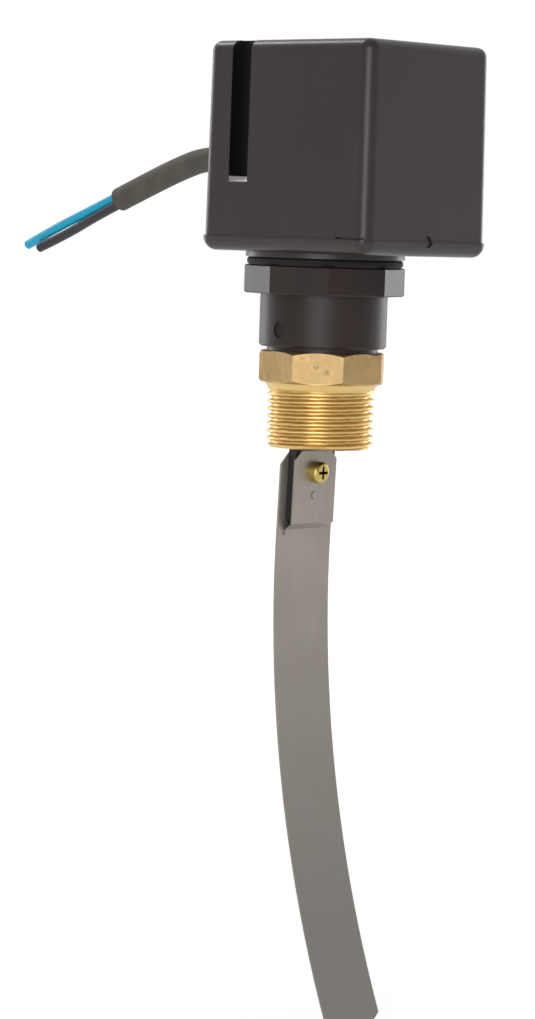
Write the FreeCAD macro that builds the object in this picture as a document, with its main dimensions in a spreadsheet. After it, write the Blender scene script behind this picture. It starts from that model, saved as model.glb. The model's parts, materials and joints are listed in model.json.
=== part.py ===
"""Paddle flow switch with a 3/4 inch parallel pipe thread, modelled in millimetres.

Frame: +Z up along the thread's axis, +X the way the water flows, origin on the axis at the upper
end of the thread. The paddle hangs below, the switch box stands above.
"""
import FreeCAD, Part
import math
import os
import re

import Sketcher
from FreeCAD import Placement, Rotation, Vector

# ---------------------------------------------------------------- driving dimensions
SIZES = [
    # brass fitting
    ("thread_radius", 13.22, "G 3/4 crest radius"),
    ("thread_length", 14.6, "threaded length below the shoulder"),
    ("thread_bevel", 0.9, "lead-in at the thread's end"),
    ("thread_pitch", 1.814, "14 threads to the inch"),
    ("thread_depth", 1.16, "thread, crest to root"),
    ("thread_flat", 0.3, "flats on crests and roots"),
    ("shoulder_rise", 1.4, "height of the cone between thread and octagon"),
    ("shoulder_radius", 14.1, "cone's upper radius"),
    ("brass_flats", 30.0, "octagon across flats"),
    ("brass_height", 7.7, "octagon height"),
    ("brass_turn", -6.4, "degrees that the octagon stands turned from the box"),
    ("corner_reach", 3.0, "radial reach of the cone that breaks the octagon's corners"),
    ("corner_drop", 1.9, "drop of that cone over its reach"),
    ("bore_radius", 10.25, "way through the thread"),
    ("socket_radius", 12.3, "socket for the neck's spigot"),
    ("socket_floor", 2.0, "height of the socket's floor above the origin"),
    # moulded neck with its collar, spigot and sealed stub
    ("neck_gap", 1.1, "undercut between octagon and neck"),
    ("seat_radius", 13.7, "shoulder in the undercut that seats on the octagon"),
    ("neck_radius", 15.7, "neck cylinder"),
    ("neck_height", 12.9, "neck cylinder"),
    ("neck_bevel", 0.5, "lower rim of the neck"),
    ("collar_flats", 36.5, "octagonal collar across flats"),
    ("collar_height", 7.0, "octagonal collar"),
    ("collar_bevel", 0.35, "collar's broken edges"),
    ("spigot_clearance", 0.05, "radial, spigot in socket"),
    ("spigot_float", 0.2, "spigot end above the socket's floor"),
    ("ring_section", 0.9, "sealing ring, half of its section"),
    ("ring_level", 5.4, "height of the sealing ring"),
    ("ring_squeeze", 0.1, "room left above and below the ring"),
    ("well_radius", 9.8, "wet well that the arm swings in"),
    ("well_depth", 20.9, "well from the spigot's end upward"),
    ("stub_radius", 11.0, "stub that passes into the box"),
    ("stub_height", 15.9, "stub above the collar"),
    ("stub_bevel", 1.0, "stub's upper edge"),
    ("membrane", 2.0, "closed end between the wet and the dry side"),
    ("slot_half_width", 4.7, "wet slot in the stub, half of its width"),
    ("slot_back", 8.2, "slot's reach against the flow"),
    ("slot_front", 5.7, "slot's reach with the flow"),
    ("pin_radius", 1.5, "pivot pin"),
    ("pin_level", 14.4, "height of the paddle's pivot"),
    ("pin_recess", 0.45, "pin ends below the neck's surface"),
    ("pin_dimple_radius", 2.0, "shallow dimple round each pin end"),
    ("press_gap", 0.01, "radial, pressed and threaded pieces"),
    ("running_gap", 0.05, "radial, turning and sliding pieces"),
    # paddle, in a frame at its pivot
    ("rest_tilt", 2.0, "degrees that the paddle leans against the flow at rest"),
    ("hub_radius", 4.4, "arm round its pin"),
    ("hub_width", 12.0, "arm along its pin"),
    ("arm_width", 14.5, "blade of the arm"),
    ("arm_front", 2.2, "arm's front face from the pivot plane"),
    ("arm_back", 2.3, "arm's back face from the pivot plane"),
    ("lap_face", 0.15, "front face of the lapped blade, behind the pivot plane"),
    ("lap_clearance", 0.6, "step where the blade turns thin, below the thread's end"),
    ("lap_gap", 0.1, "strip below that step, and leaf below the strip's end"),
    ("arm_reach", 48.0, "pivot to the blade's lower end"),
    ("stalk_length", 5.6, "stalk from front to back"),
    ("stalk_width", 6.4, "stalk across"),
    ("cup_radius", 4.2, "magnet cup"),
    ("cup_floor", 20.4, "pivot to the cup's underside"),
    ("cup_height", 8.0, "magnet cup"),
    ("magnet_radius", 3.0, "both magnets"),
    ("magnet_height", 6.0, "both magnets"),
    ("strip_width", 19.5, "paddle strip"),
    ("strip_thickness", 0.5, "paddle strip"),
    ("strip_lead", 3.3, "straight length of the strip below the arm"),
    ("strip_bend_radius", 279.0, "long bend that turns with the flow"),
    ("strip_bend_angle", 25.6, "degrees of the long bend"),
    ("strip_tip_radius", 16.5, "rounded end of the strip"),
    ("strip_tip_level", 171.6, "pivot to the lowest point of the tip"),
    ("strip_corner", 3.6, "cut corners at the strip's top"),
    ("leaf_width", 15.0, "clamp leaf"),
    ("leaf_thickness", 0.5, "clamp leaf"),
    ("leaf_joggle", 1.6, "height of the joggle"),
    ("leaf_tail", 1.4, "flat tail below the joggle"),
    ("leaf_corner", 2.2, "cut corners at the leaf's top"),
    ("screw_share", 0.304, "paddle screw, as a share of the lap from its upper end"),
    ("dowel_share", 0.62, "locating dowel, as a share of the lap"),
    ("screw_radius", 1.5, "M3 shank"),
    ("screw_head_radius", 2.7, "pan head"),
    ("screw_head_height", 2.6, "pan head"),
    ("screw_head_round", 1.0, "pan head's edge"),
    ("recess_width", 0.7, "cross recess, each slot"),
    ("recess_reach", 1.6, "cross recess, from the screw's axis"),
    ("recess_depth", 1.3, "cross recess"),
    ("screw_tail", 1.0, "shank past the nut"),
    ("nut_flats", 5.5, "M3 nut"),
    ("nut_height", 2.4, "M3 nut"),
    ("dowel_radius", 1.0, "locating dowel"),
    ("dowel_proud", 0.25, "dowel past leaf and strip"),
    # box
    ("gasket_thickness", 1.9, "flange gasket under the base"),
    ("gasket_radius", 19.2, "flange gasket"),
    ("gasket_bevel", 0.5, "gasket's outer edges"),
    ("boss_rise", 1.3, "round boss under the base"),
    ("boss_radius", 19.6, "round boss under the base"),
    ("box_length", 54.0, "box along the flow"),
    ("box_width", 45.0, "box across the flow"),
    ("box_shift", 5.8, "box centre ahead of the thread's axis"),
    ("box_corner", 3.0, "upright corners"),
    ("base_height", 3.6, "base plate"),
    ("base_rim", 0.4, "base stands proud of the cover"),
    ("base_round", 3.2, "lower edge of the base"),
    ("base_floor", 0.9, "base left under the cover screws"),
    ("cover_height", 47.3, "cover above the seam"),
    ("cover_draft", 0.5, "degrees of mould draft"),
    ("cover_round", 2.6, "upper edge of the cover"),
    ("wall", 2.2, "wall of the cover"),
    ("roof", 2.4, "top of the cover"),
    ("lip_height", 2.2, "base lip inside the cover"),
    ("lip_thickness", 1.4, "base lip"),
    ("lip_gap", 0.15, "lip to cover wall"),
    ("seal_width", 1.1, "cover seal"),
    ("seal_depth", 0.8, "cover seal"),
    ("channel_inset", 12.0, "screw channel's centre from the nearer end of the box"),
    ("channel_width", 6.2, "screw channel"),
    ("channel_depth", 4.5, "screw channel, from the cover's face at the seam"),
    ("channel_axis", 2.9, "screw axis behind the cover's face"),
    ("channel_wall", 2.0, "column round the channel"),
    ("channel_ledge", 14.35, "ledge of the channel above the seam"),
    ("ledge_slope", 1.4, "slope at 45 degrees at the front of the ledge"),
    ("cover_screw_radius", 1.0, "cover screw"),
    ("cover_screw_bite", 2.3, "cover screw below the seam"),
    ("cover_head_radius", 1.5, "cover screw head, sunk in the ledge"),
    ("cover_head_height", 1.5, "cover screw head"),
    ("pip_radius", 1.45, "round dimple across the seam"),
    ("pip_depth", 0.5, "round dimple"),
    ("pry_length", 9.4, "pry slot in the seam, from the box's corner"),
    ("pry_height", 0.5, "pry slot"),
    ("pry_depth", 0.8, "pry slot"),
    ("overcut", 0.5, "how far a cutter starts outside a face"),
    ("lock_flats", 27.0, "lock nut on the stub"),
    ("lock_height", 5.5, "lock nut"),
    # magnet lever and its frame
    ("frame_floor", 2.0, "frame's foot plate"),
    ("frame_gap", 0.25, "frame's foot to the base's lip"),
    ("frame_step", 1.7, "upright plate's edge in from the foot's edge"),
    ("frame_half_width", 13.9, "frame's foot"),
    ("frame_wall", 2.0, "upright plate"),
    ("frame_wall_front", 5.2, "upright plate's front face from the middle plane"),
    ("frame_headroom", 3.8, "upright plate's top below the ceiling"),
    ("frame_edge", 1.2, "upright plate past the switch"),
    ("frame_waist", 3.0, "upright plate's lower corners above the stub's top"),
    ("frame_ear", 1.4, "drop of the edge from the waist to the foot's edge"),
    ("arch_half_width", 10.6, "flat of the arch over the stub, half of its width"),
    ("arch_clearance", 0.9, "arch above the stub"),
    ("arch_leg", 7.0, "upright legs of the arch above the seam"),
    ("nut_clearance", 0.3, "lock nut's flats to the frame"),
    ("frame_screw_radius", 1.4, "frame screws"),
    ("frame_screw_inset", 2.8, "frame screws from the foot's ends"),
    ("frame_screw_side", 2.7, "frame screws from the foot's sides"),
    ("frame_screw_length", 4.2, "frame screws"),
    ("screw_spare", 0.2, "blind hole below a screw's end"),
    ("frame_head_radius", 2.5, "frame screws"),
    ("frame_head_height", 1.6, "frame screws"),
    ("lever_drop", 15.8, "lever pivot below the ceiling"),
    ("magnet_gap", 1.4, "lever cup above the stub"),
    ("lever_pin_radius", 1.25, "lever pin"),
    ("lever_pin_tail", 5.8, "lever pin ahead of the middle plane"),
    ("lever_pin_head_radius", 2.25, "lever pin's head"),
    ("lever_pin_head_height", 1.0, "lever pin's head"),
    ("lever_hub_radius", 3.5, "lever hub"),
    ("lever_hub_half_width", 4.2, "lever hub ahead of the middle plane"),
    ("lever_side_gap", 0.2, "side play of the lever"),
    ("lever_stem_thickness", 4.0, "lever arms"),
    ("lever_stem_width", 6.0, "lever arms"),
    ("lever_cup_height", 7.6, "lever's magnet cup"),
    ("pad_drop", 6.5, "pivot up to the pad that works the button"),
    ("pad_shift", 1.2, "pad ahead of the pivot"),
    ("pad_radius", 1.5, "rounded pad"),
    ("spring_arm_end", 3.0, "spring arm past the spring's axis"),
    ("spring_arm_height", 3.0, "spring arm"),
    ("spring_radius", 2.2, "spring, to the middle of its wire"),
    ("spring_wire", 0.5, "spring wire diameter"),
    ("spring_length", 4.6, "spring at rest"),
    ("spring_turns", 3.5, "spring"),
    ("clip_radius", 2.5, "retaining clip"),
    ("clip_thickness", 0.6, "retaining clip"),
    ("range_screw_radius", 2.0, "range screw"),
    ("range_cup_radius", 3.0, "range screw's spring cup"),
    ("range_cup_height", 1.4, "range screw's spring cup"),
    ("range_screw_height", 8.4, "range screw with its cup"),
    ("range_slot_width", 0.8, "range screw's driver slot"),
    ("range_slot_depth", 1.0, "range screw's driver slot"),
    ("lug_height", 2.0, "lug that carries the range screw"),
    ("lug_level", 9.2, "pivot to the lug's underside"),
    ("lug_half_width", 4.5, "lug"),
    # snap switch
    ("case_height", 15.9, "snap switch from button face to terminal face"),
    ("case_length", 27.8, "snap switch, upright"),
    ("case_thickness", 10.3, "snap switch"),
    ("case_front", 5.0, "button face from the middle plane of the lever"),
    ("case_drop", 9.0, "button above the middle of the case"),
    ("case_hole_spacing", 22.2, "mounting holes"),
    ("case_hole_inset", 7.5, "mounting holes from the button face"),
    ("button_width", 3.0, "button"),
    ("button_height", 2.6, "button"),
    ("button_length", 5.2, "button"),
    ("button_gap", 0.06, "button to pad at rest"),
    ("button_well", 5.2, "well in the case behind the button face"),
    ("terminal_width", 4.8, "tab terminals"),
    ("terminal_thickness", 0.5, "tab terminals"),
    ("terminal_length", 6.4, "tab terminals"),
    ("terminal_spacing", 10.6, "tab terminals"),
    ("switch_screw_length", 13.0, "snap switch screws"),
    ("switch_head_height", 1.8, "snap switch screws"),
    # cable entry
    ("cable_level", 56.1, "cable's axis above the origin"),
    ("cable_radius", 3.1, "cable sheath"),
    ("core_radius", 1.2, "insulated cores"),
    ("gland_bore_gap", 0.15, "sheath in the gland"),
    ("gland_thread_radius", 5.0, "gland thread"),
    ("gland_flats", 14.0, "gland hexagon"),
    ("gland_hex", 3.0, "gland hexagon"),
    ("gland_inside", 6.6, "gland thread inside the box"),
    ("gland_outside", 5.2, "gland thread under the cap"),
    ("gland_cap_radius", 6.6, "gland cap"),
    ("gland_cap_length", 8.8, "gland cap"),
    ("gland_cap_gap", 0.2, "cap to hexagon"),
    ("gland_seal_length", 3.0, "rubber seal under the cap"),
    ("gland_nut_flats", 13.0, "gland nut inside the box"),
    ("gland_nut_height", 2.6, "gland nut inside the box"),
    ("gland_nut_gap", 0.3, "gland nut to the cover's wall"),
    ("sheath_inside", 7.4, "cable sheath inside the box wall"),
]

doc = FreeCAD.newDocument("paddle_flow_switch")
sheet = doc.addObject("Spreadsheet::Sheet", "Sizes")
for row, (alias, value, meaning) in enumerate(SIZES, 1):
    sheet.set(f"A{row}", meaning)
    sheet.set(f"B{row}", str(value))
    sheet.setAlias(f"B{row}", alias)
doc.recompute()
ALIASES = {alias for alias, value, meaning in SIZES}
WORD = re.compile(r"[A-Za-z_]\w*")

# levels above the origin, each built on the one below
BRASS_TOP = "(shoulder_rise + brass_height)"
NECK_FOOT = f"({BRASS_TOP} + neck_gap)"
NECK_TOP = f"({NECK_FOOT} + neck_height)"
COLLAR_TOP = f"({NECK_TOP} + collar_height)"
STUB_TOP = f"({COLLAR_TOP} + stub_height)"
GASKET_TOP = f"({COLLAR_TOP} + gasket_thickness)"
BASE_FOOT = f"({GASKET_TOP} + boss_rise)"
SEAM = f"({BASE_FOOT} + base_height)"
COVER_TOP = f"({SEAM} + cover_height)"
LEDGE = f"({SEAM} + channel_ledge)"
SPIGOT_FOOT = "(socket_floor + spigot_float)"
CEILING = f"({COVER_TOP} - roof)"
FRAME_FLOOR = f"({SEAM} + frame_floor)"
FRAME_TOP = f"({CEILING} - frame_headroom)"
LEVER = f"({CEILING} - lever_drop)"
LEVER_CUP_FOOT = f"({LEVER} - {STUB_TOP} - magnet_gap)"
LEVER_CUP_TOP = f"({LEVER_CUP_FOOT} - lever_cup_height)"
BUTTON = f"({LEVER} + pad_drop)"
CASE_MIDDLE = f"({BUTTON} - case_drop)"

# places along the flow and across it
BOX_BACK = "(box_shift - box_length / 2)"
BOX_FRONT = "(box_shift + box_length / 2)"
SPIGOT = "(socket_radius - spigot_clearance)"
CHANNEL_X = f"({BOX_BACK} + channel_inset)"
CHANNEL_Y = "(channel_axis - box_width / 2)"
PAD_FACE = "(pad_shift + pad_radius)"
LIP = "(wall + lip_gap + lip_thickness)"
FRAME_BACK = f"({BOX_BACK} + {LIP} + frame_gap)"
FRAME_FRONT = f"({BOX_FRONT} - {LIP} - frame_gap)"
PLATE_BACK = f"({FRAME_BACK} + frame_step)"
SPRING_X = f"({PLATE_BACK} + lug_half_width)"

# the paddle's own levels, counted down from its pivot
LAP = "(pin_level + thread_length + lap_clearance)"
LAP_LENGTH = f"(arm_reach - {LAP})"
STRIP_START = f"({LAP} + lap_gap)"
LEAF_START = f"({STRIP_START} + lap_gap)"
STRIP_BEND = "(arm_reach + strip_lead)"
SCREW_DROP = f"({LAP} + {LAP_LENGTH} * screw_share)"
DOWEL_DROP = f"({LAP} + {LAP_LENGTH} * dowel_share)"

nodes = {}


def size(alias):
    """A driving dimension as a plain number."""
    return float(sheet.get(alias))


def tie(thing, prop, text):
    """Binds a property to the sheet; a size is written as its plain alias."""
    named = WORD.sub(lambda m: "Sizes." + m.group() if m.group() in ALIASES else m.group(), text)
    thing.setExpression(prop, named)


def settle(thing):
    """Recomputes and refuses a failed or empty object."""
    doc.recompute()
    if {"Invalid", "Error"} & set(thing.State):
        raise RuntimeError(f"{thing.Name} failed: {thing.State}")
    return thing


def node(thing, name):
    """Files an object as one sub-part under its own label."""
    thing.Label = name
    nodes[name] = thing
    return thing


# ---------------------------------------------------------------- sketch and feature helpers
def new_body(name):
    body = doc.addObject("PartDesign::Body", name)
    return node(body, name)


def sketch_on(body, role, level="0", shift="0"):
    """A sketch on one of the body's own planes, level along its normal and shifted along its x."""
    sketch = body.newObject("Sketcher::SketchObject", f"{body.Name}_sketch")
    plane = next(p for p in body.Origin.OriginFeatures if p.Role == role)
    sketch.AttachmentSupport = [(plane, "")]
    sketch.MapMode = "FlatFace"
    tie(sketch, "AttachmentOffset.Base.z", level)
    tie(sketch, "AttachmentOffset.Base.x", shift)
    return sketch


def bind_point(sketch, geometry, point, x, y):
    for kind, text in (("DistanceX", x), ("DistanceY", y)):
        number = sketch.addConstraint(Sketcher.Constraint(kind, -1, 1, geometry, point, 1.0))
        tie(sketch, f"Constraints[{number}]", text)


def outline(sketch, corners):
    """A closed run of straight lines whose corners are bound to sizes."""
    first = sketch.GeometryCount
    count = len(corners)
    spread = [Vector(math.cos(2 * math.pi * k / count), math.sin(2 * math.pi * k / count), 0)
              for k in range(count)]
    for k in range(count):
        sketch.addGeometry(Part.LineSegment(spread[k], spread[(k + 1) % count]), False)
    for k in range(count):
        sketch.addConstraint(Sketcher.Constraint("Coincident", first + k, 2, first + (k + 1) % count, 1))
    for k, (x, y) in enumerate(corners):
        bind_point(sketch, first + k, 1, x, y)
    return sketch


def rectangle(sketch, length, width, x="0", y="0"):
    sides = [(-1, -1), (1, -1), (1, 1), (-1, 1)]
    return outline(sketch, [(f"{x} + {a} * ({length}) / 2", f"{y} + {b} * ({width}) / 2")
                            for a, b in sides])


def circle(sketch, radius, x="0", y="0"):
    number = sketch.addGeometry(Part.Circle(Vector(0, 0, 0), Vector(0, 0, 1), 1.0), False)
    ruled = sketch.addConstraint(Sketcher.Constraint("Radius", number, 1.0))
    tie(sketch, f"Constraints[{ruled}]", radius)
    bind_point(sketch, number, 3, x, y)
    return sketch


def polygon(sketch, sides, flats, turn="0", x="0", y="0"):
    """A regular polygon by its size across flats; turn is its first corner's angle."""
    corner = f"({flats}) / 2 / cos(180 deg / {sides})"
    angles = [f"({turn}) * 1 deg + {360 * k / sides} deg" for k in range(sides)]
    return outline(sketch, [(f"{x} + {corner} * cos({a})", f"{y} + {corner} * sin({a})") for a in angles])


def feature(body, kind, sketch, length, both_ways=False, backward=False, draft=None, through=False):
    made = body.newObject(f"PartDesign::{kind}", f"{body.Name}_{kind.lower()}")
    made.Profile = sketch
    if both_ways:
        made.SideType = "Symmetric"
    made.Reversed = backward
    if through:
        made.Type = "ThroughAll"
    else:
        tie(made, "Length", length)
    if draft:
        tie(made, "TaperAngle", draft)
    return settle(made)


def pad(body, sketch, length, **how):
    return feature(body, "Pad", sketch, length, **how)


def pocket(body, sketch, length=None, **how):
    before = body.Tip.Shape.Volume
    made = feature(body, "Pocket", sketch, length, through=length is None, **how)
    if made.Shape.Volume > before - 1e-6:
        raise RuntimeError(f"{made.Name} cuts nothing")
    return made


def turn_profile(body, sketch, cut=False, axis="V_Axis", angle="360", backward=False):
    before = body.Tip.Shape.Volume if cut else 0.0
    kind = "Groove" if cut else "Revolution"
    made = body.newObject(f"PartDesign::{kind}", f"{body.Name}_{kind.lower()}")
    made.Profile = sketch
    made.ReferenceAxis = (sketch, [axis])
    made.Reversed = backward
    tie(made, "Angle", angle)
    settle(made)
    if cut and made.Shape.Volume > before - 1e-6:
        raise RuntimeError(f"{made.Name} cuts nothing")
    return made


def soften(body, kind, amount, wanted):
    """Fillet or Chamfer on the edges of the body that answer to wanted(edge)."""
    base = body.Tip
    edges = [f"Edge{k}" for k, edge in enumerate(base.Shape.Edges, 1) if wanted(edge)]
    if not edges:
        raise RuntimeError(f"{body.Name} has no such edge")
    made = body.newObject(f"PartDesign::{kind}", f"{body.Name}_{kind.lower()}")
    made.Base = (base, edges)
    tie(made, "Radius" if kind == "Fillet" else "Size", amount)
    return settle(made)


def near(value, target):
    """True where two lengths are the same to within a thousandth of a millimetre."""
    return abs(value - target) < 1e-3


def flat_at(edge, level):
    """True for an edge that lies at one height."""
    return near(edge.BoundBox.ZMin, level) and near(edge.BoundBox.ZMax, level)


def upright(edge):
    return near(edge.BoundBox.XLength, 0) and near(edge.BoundBox.YLength, 0)


def along_flow(edge):
    """True for an edge with no extent across the flow."""
    return near(edge.BoundBox.YLength, 0)


def level(text):
    """The value of an expression over the sheet, read back from a bound length."""
    gauge = doc.getObject("gauge") or doc.addObject("Part::Vertex", "gauge")
    tie(gauge, "X", text)
    doc.recompute()
    return float(gauge.X)


# ---------------------------------------------------------------- primitive helpers
def cylinder(name, radius, height, x="0", y="0", z="0", axis=(0, 0, 1)):
    made = doc.addObject("Part::Cylinder", name)
    tie(made, "Radius", radius)
    tie(made, "Height", height)
    made.Placement = Placement(Vector(), Rotation(Vector(0, 0, 1), Vector(*axis)))
    for letter, text in (("x", x), ("y", y), ("z", z)):
        tie(made, f"Placement.Base.{letter}", text)
    return made


def joined(name, kind, pieces):
    """Part::MultiFuse or Part::Compound of several objects."""
    made = doc.addObject(kind, name)
    if kind == "Part::Compound":
        made.Links = pieces
    else:
        made.Shapes = pieces
        made.Refine = False
    return settle(made)


def cut_from(name, base, tool):
    made = doc.addObject("Part::Cut", name)
    made.Base = base
    made.Tool = tool
    return settle(made)


def place(thing, x="0", y="0", z="0", axis=None, angle="0"):
    """Puts a sub-part at its place, bound to the sheet."""
    if axis:
        thing.Placement = Placement(Vector(), Rotation(Vector(*axis), 1.0))
        tie(thing, "Placement.Rotation.Angle", f"({angle}) * 1 deg")
    for letter, text in (("x", x), ("y", y), ("z", z)):
        tie(thing, f"Placement.Base.{letter}", text)
    return settle(thing)


# ---------------------------------------------------------------- brass fitting
def cut_thread(body):
    """The thread as a row of ring grooves at its pitch, each with the thread's own section."""
    root = "(thread_radius - thread_depth)"
    top = "(0 - thread_flat)"
    foot = "(0 - thread_pitch)"
    middle = f"(({top} + {foot}) / 2)"
    section = [("thread_radius", top), (root, f"{middle} + thread_flat / 2"),
               (root, f"{middle} - thread_flat / 2"), ("thread_radius", foot),
               ("thread_radius + overcut", foot), ("thread_radius + overcut", top)]
    groove = turn_profile(body, outline(sketch_on(body, "XZ_Plane"), section), cut=True)
    count = int((size("thread_length") - size("thread_bevel")) / size("thread_pitch"))
    row = body.newObject("PartDesign::LinearPattern", "thread_row")
    row.Originals = [groove]
    row.Direction = (body.Origin.OriginFeatures[2], [""])
    row.Reversed = True
    row.Occurrences = count
    tie(row, "Length", f"thread_pitch * {count - 1}")
    body.Tip = settle(row)


def make_brass_fitting():
    body = new_body("brass_fitting")
    pad(body, polygon(sketch_on(body, "XY_Plane", "shoulder_rise"), 8, "brass_flats", "brass_turn + 22.5"),
        "brass_height")
    stem = [("0", "-thread_length"), ("thread_radius - thread_bevel", "-thread_length"),
            ("thread_radius", "thread_bevel - thread_length"), ("thread_radius", "0"),
            ("shoulder_radius", "shoulder_rise"), ("shoulder_radius", "shoulder_rise + brass_height / 2"),
            ("0", "shoulder_rise + brass_height / 2")]
    turn_profile(body, outline(sketch_on(body, "XZ_Plane"), stem))
    inner = "brass_flats / 2"
    for edge, drop in ((BRASS_TOP, "-corner_drop"), ("shoulder_rise", "corner_drop")):
        corner = [(inner, edge), (f"{inner} + corner_reach", edge),
                  (f"{inner} + corner_reach", f"{edge} + {drop}")]
        turn_profile(body, outline(sketch_on(body, "XZ_Plane"), corner), cut=True)
    pocket(body, circle(sketch_on(body, "XY_Plane", BRASS_TOP), "socket_radius"),
           f"{BRASS_TOP} - socket_floor")
    pocket(body, circle(sketch_on(body, "XY_Plane", BRASS_TOP), "bore_radius"))
    cut_thread(body)


# ---------------------------------------------------------------- moulded neck
def make_neck_body():
    body = new_body("neck_body")
    groove_floor = f"({SPIGOT} - 2 * ring_section)"
    groove_half = "(ring_section + ring_squeeze)"
    profile = [("0", SPIGOT_FOOT), (SPIGOT, SPIGOT_FOOT),
               (SPIGOT, f"ring_level - {groove_half}"), (groove_floor, f"ring_level - {groove_half}"),
               (groove_floor, f"ring_level + {groove_half}"), (SPIGOT, f"ring_level + {groove_half}"),
               (SPIGOT, BRASS_TOP), ("seat_radius", BRASS_TOP), ("seat_radius", NECK_FOOT),
               ("neck_radius - neck_bevel", NECK_FOOT),
               ("neck_radius", f"{NECK_FOOT} + neck_bevel"), ("neck_radius", NECK_TOP),
               ("stub_radius", NECK_TOP), ("stub_radius", f"{STUB_TOP} - stub_bevel"),
               ("stub_radius - stub_bevel", STUB_TOP), ("0", STUB_TOP)]
    turn_profile(body, outline(sketch_on(body, "XZ_Plane"), profile))
    pad(body, polygon(sketch_on(body, "XY_Plane", NECK_TOP), 8, "collar_flats"), "collar_height")
    ends = (level(NECK_TOP), level(COLLAR_TOP))
    soften(body, "Chamfer", "collar_bevel",
           lambda e: any(flat_at(e, z) for z in ends) and e.Curve.TypeId == "Part::GeomLine")
    pocket(body, circle(sketch_on(body, "XY_Plane", SPIGOT_FOOT), "well_radius"), "well_depth",
           backward=True)
    well_top = f"({SPIGOT_FOOT} + well_depth)"
    slot_middle = "((slot_front - slot_back) / 2)"
    pocket(body, rectangle(sketch_on(body, "XY_Plane", well_top), "slot_front + slot_back",
                           "2 * slot_half_width", slot_middle),
           f"{STUB_TOP} - membrane - {well_top}", backward=True)
    pocket(body, circle(sketch_on(body, "XZ_Plane"), "pin_radius + press_gap", "0", "pin_level"),
           both_ways=True)
    for side in (1, -1):
        sunk = sketch_on(body, "XZ_Plane", f"{side} * (neck_radius - pin_recess)")
        pocket(body, circle(sunk, "pin_dimple_radius", "0", "pin_level"), "pin_recess * 4",
               backward=side == 1)


def make_neck_small_parts():
    body = new_body("fitting_ring")
    middle = f"({SPIGOT} - ring_section)"
    half = "(ring_section - spigot_clearance)"
    slant = f"({half} * tan(22.5 deg))"
    corners = [(half, f"0 - {slant}"), (half, slant), (slant, half), (f"0 - {slant}", half),
               (f"0 - {half}", slant), (f"0 - {half}", f"0 - {slant}"), (f"0 - {slant}", f"0 - {half}"),
               (slant, f"0 - {half}")]
    section = [(f"{middle} + {x}", f"ring_level + {z}") for x, z in corners]
    turn_profile(body, outline(sketch_on(body, "XZ_Plane"), section))
    reach = "(neck_radius - pin_recess)"
    pin = cylinder("pivot_pin", "pin_radius", f"2 * {reach}", y=reach, z="pin_level", axis=(0, -1, 0))
    node(settle(pin), "pivot_pin")
    body = new_body("flange_gasket")
    pad(body, circle(circle(sketch_on(body, "XY_Plane", COLLAR_TOP), "gasket_radius"),
                     "stub_radius + running_gap"), "gasket_thickness")
    rim = size("gasket_radius")
    soften(body, "Chamfer", "gasket_bevel", lambda e: near(e.BoundBox.XMax, rim) and not upright(e))
    body = new_body("lock_nut")
    pad(body, polygon(circle(sketch_on(body, "XY_Plane", SEAM), "stub_radius + press_gap"),
                      6, "lock_flats", "90"), "lock_height")


# ---------------------------------------------------------------- base, seal and cover
def channel_places():
    """The two screw channels face each other across the box centre."""
    return [(CHANNEL_X, CHANNEL_Y, 1), (f"(2 * box_shift - {CHANNEL_X})", f"(0 - {CHANNEL_Y})", -1)]


def frame_screw_places():
    """One screw in each corner of the frame's foot."""
    side = "(frame_half_width - frame_screw_side)"
    return [(x, f"{sign} * {side}") for x in (f"({FRAME_BACK} + frame_screw_inset)",
                                             f"({FRAME_FRONT} - frame_screw_inset)")
            for sign in (1, -1)]


def cut_pip(body, face):
    """The body's share of the round dimple across the seam, in its front face."""
    dimple = circle(sketch_on(body, "YZ_Plane", f"{face} - pip_depth"), "pip_radius", "0", SEAM)
    pocket(body, dimple, "pip_depth + overcut", backward=True)


def make_base():
    body = new_body("base")
    plan = sketch_on(body, "XY_Plane", BASE_FOOT)
    pad(body, rectangle(plan, "box_length + 2 * base_rim", "box_width + 2 * base_rim", "box_shift"),
        "base_height")
    soften(body, "Fillet", "box_corner + base_rim", upright)
    foot = level(BASE_FOOT)
    soften(body, "Fillet", "base_round", lambda e: flat_at(e, foot))
    pad(body, circle(sketch_on(body, "XY_Plane", GASKET_TOP), "boss_radius"), "boss_rise + base_round")
    lip = sketch_on(body, "XY_Plane", SEAM)
    inner_length = "(box_length - 2 * wall - 2 * lip_gap)"
    inner_width = "(box_width - 2 * wall - 2 * lip_gap)"
    rectangle(lip, inner_length, inner_width, "box_shift")
    rectangle(lip, f"{inner_length} - 2 * lip_thickness", f"{inner_width} - 2 * lip_thickness", "box_shift")
    pad(body, lip, "lip_height")
    for x, y, side in channel_places():
        opening = sketch_on(body, "XY_Plane", SEAM)
        rectangle(opening, "channel_width + 2 * channel_wall + 4 * lip_gap", f"2 * ({LIP} + lip_gap)", x,
                  f"{y} - {side} * channel_axis")
        pocket(body, opening, "lip_height", backward=True)
        hole = circle(sketch_on(body, "XY_Plane", SEAM), "cover_screw_radius + press_gap", x, y)
        pocket(body, hole, "base_height - base_floor")
    groove = sketch_on(body, "XY_Plane", SEAM)
    for offset in ("seal_width / 2 + running_gap", "-seal_width / 2 - running_gap"):
        rectangle(groove, f"box_length - wall + 2 * ({offset})", f"box_width - wall + 2 * ({offset})",
                  "box_shift")
    pocket(body, groove, "seal_depth")
    pocket(body, circle(sketch_on(body, "XY_Plane", SEAM), "stub_radius + running_gap"))
    for x, y in frame_screw_places():
        hole = circle(sketch_on(body, "XY_Plane", SEAM), "frame_screw_radius + press_gap", x, y)
        pocket(body, hole, "frame_screw_length - frame_floor + screw_spare")
    cut_pip(body, f"({BOX_FRONT} + base_rim)")


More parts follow.
